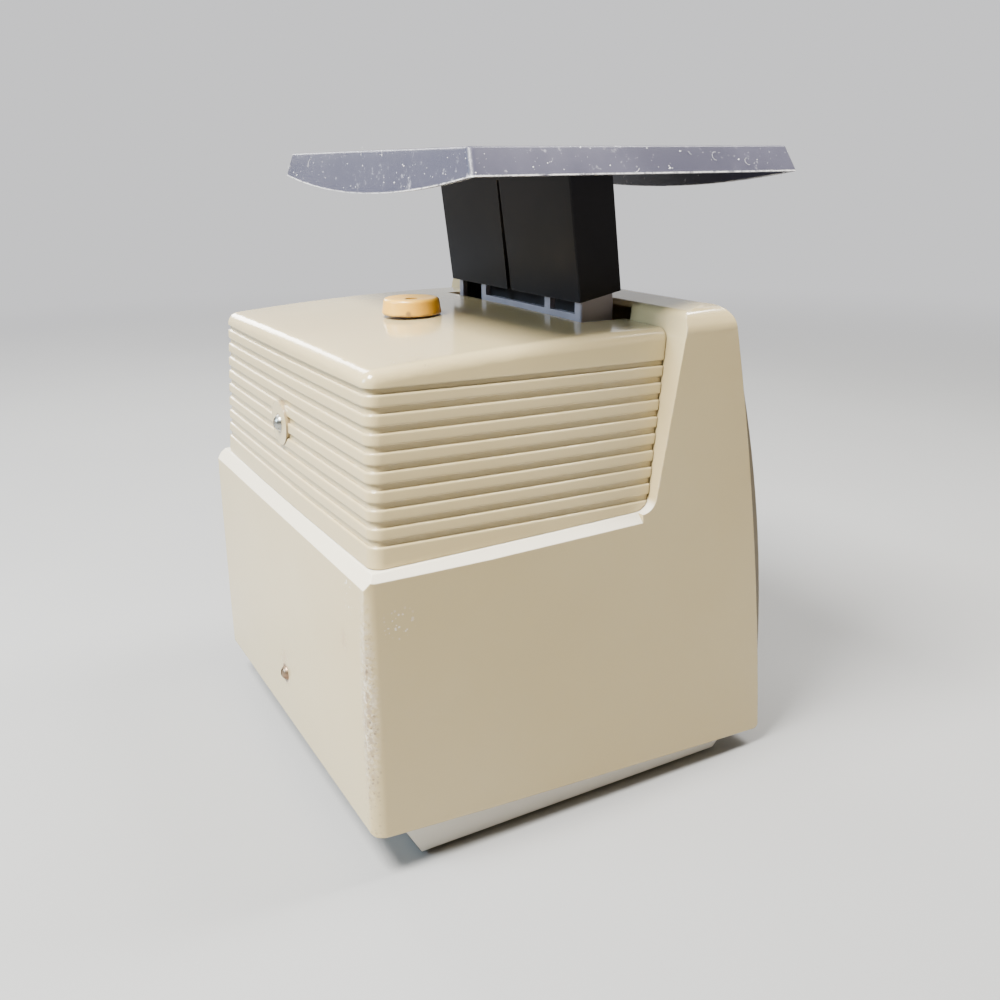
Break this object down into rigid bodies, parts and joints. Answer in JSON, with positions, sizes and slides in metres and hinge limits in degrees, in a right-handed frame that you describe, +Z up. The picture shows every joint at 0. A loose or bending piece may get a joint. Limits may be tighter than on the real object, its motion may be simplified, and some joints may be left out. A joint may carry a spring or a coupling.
{
  "type": "mechanical spring scale",
  "caption": "Tabletop spring scale: tapered moulded case, ribbed rear cover with a zero knob, flat pan on a leaning stem, and a levered rack-and-pinion dial behind a round lens.",
  "frame": {"origin": "centre of the footprint, at table level under the rubber feet", "axes": "+Z up; the dial faces -Y; the ribbed cover and zero knob are at +Y; +X is the viewer's right when reading the dial"},
  "size_m": [0.1806, 0.178, 0.2401],
  "materials": {
    "ivory_case": "glossy moulded ivory plastic, aged and lightly scuffed",
    "ivory_cover": "glossy moulded ivory plastic, a little cooler than the case",
    "cream_base": "satin cream plastic",
    "foot_rubber": "matt black rubber",
    "screw_steel": "zinc plated steel",
    "plated_screw": "bright plated steel, worn",
    "dull_screw": "dulled, slightly rusty steel",
    "bronze_bezel": "satin bronze-brown plastic",
    "clear_lens": "clear moulded plastic",
    "dial_white": "matt white enamel with printed ticks and numbers",
    "zinc_steel": "zinc plated pressed sheet",
    "pin_steel": "turned bright steel",
    "brass": "machined brass",
    "blue_grey_head": "satin blue-grey plastic",
    "black_pan": "glossy black plastic, dusty and worn at its edges",
    "white_nylon": "natural white nylon",
    "red_pointer": "red enamel",
    "yellow_knob": "yellowed cream plastic",
    "spring_steel": "oiled spring wire"
  },
  "bodies": {
    "case": {"main_housing": "ivory_case", "ribbed_cover": "ivory_cover", "base_pan": "cream_base", "rubber_feet": "foot_rubber", "base_screws": "screw_steel", "frame_screws": "screw_steel", "bracket_screws": "screw_steel", "rear_cover_screw": "plated_screw", "rear_housing_screw": "dull_screw", "front_bezel": "bronze_bezel", "dial_lens": "clear_lens", "dial_plate": "dial_white", "dial_screws": "screw_steel", "mechanism_frame": "zinc_steel", "lever_pivot_pins": "pin_steel", "pointer_bracket": "zinc_steel", "pointer_bushes": "brass", "rack_guide_pin": "pin_steel"},
    "carriage": {"carriage_frame": "zinc_steel", "carriage_pins": "pin_steel", "carriage_head": "blue_grey_head", "head_screws": "screw_steel"},
    "pan": {"weighing_pan": "black_pan"},
    "lower_lever": {"lower_lever": "zinc_steel", "spring_anchor_pin": "pin_steel"},
    "upper_lever": {"upper_lever": "zinc_steel"},
    "anchor": {"spring_anchor": "white_nylon"},
    "rack": {"rack": "brass", "rack_pin": "pin_steel"},
    "pointer": {"pinion": "brass", "pointer_shaft": "pin_steel", "pointer_collars": "brass", "pointer_hub": "brass", "pointer": "red_pointer"},
    "adjuster": {"zero_knob": "yellow_knob", "zero_screw": "pin_steel", "zero_screw_clip": "spring_steel"},
    "hanger": {"spring_hanger": "white_nylon", "main_spring": "spring_steel"}
  },
  "joints": [
    {"name": "pan_travel", "type": "slide", "parent": "case", "child": "carriage", "axis": [0, 0, 1], "range_m": [-0.008, 0]},
    {"name": "pan_lift", "type": "slide", "parent": "carriage", "child": "pan", "axis": [0, 0.1191, 0.9929], "range_m": [0, 0.05]},
    {"name": "lower_lever_turn", "type": "hinge", "parent": "case", "child": "lower_lever", "pos_m": [0, 0.046, 0.062], "axis": [1, 0, 0], "range_deg": [0, 6.3], "deforming": ["main_spring"]},
    {"name": "upper_lever_turn", "type": "hinge", "parent": "case", "child": "upper_lever", "pos_m": [0, 0.046, 0.134], "axis": [1, 0, 0], "range_deg": [0, 6.3]},
    {"name": "anchor_turn", "type": "hinge", "parent": "lower_lever", "child": "anchor", "pos_m": [0, 0.0245, 0.062], "axis": [1, 0, 0], "range_deg": [-6.3, 0]},
    {"name": "rack_slide", "type": "slide", "parent": "case", "child": "rack", "axis": [0, 0.153, 0.9882], "range_m": [-0.0105, 0]},
    {"name": "pointer_turn", "type": "hinge", "parent": "case", "child": "pointer", "pos_m": [0, -0.07602, 0.104], "axis": [0, -0.9882, 0.153], "range_deg": [-240, 0]},
    {"name": "zero_knob_turn", "type": "hinge", "parent": "case", "child": "adjuster", "pos_m": [0, 0.0245, 0.18], "axis": [0, 0, 1], "range_deg": [-540, 540]},
    {"name": "hanger_slide", "type": "slide", "parent": "case", "child": "hanger", "axis": [0, 0, 1], "range_m": [-0.0016, 0.0016]}
  ],
  "couplings": [
    {"joint": "lower_lever_turn", "follows": "pan_travel", "rad_per_m": -13.514},
    {"joint": "upper_lever_turn", "follows": "pan_travel", "rad_per_m": -13.514},
    {"joint": "anchor_turn", "follows": "pan_travel", "rad_per_m": 13.514},
    {"joint": "rack_slide", "follows": "pan_travel", "ratio": 1.302},
    {"joint": "pointer_turn", "follows": "pan_travel", "rad_per_m": 520.8},
    {"joint": "hanger_slide", "follows": "zero_knob_turn", "m_per_rad": -0.00015915}
  ]
}
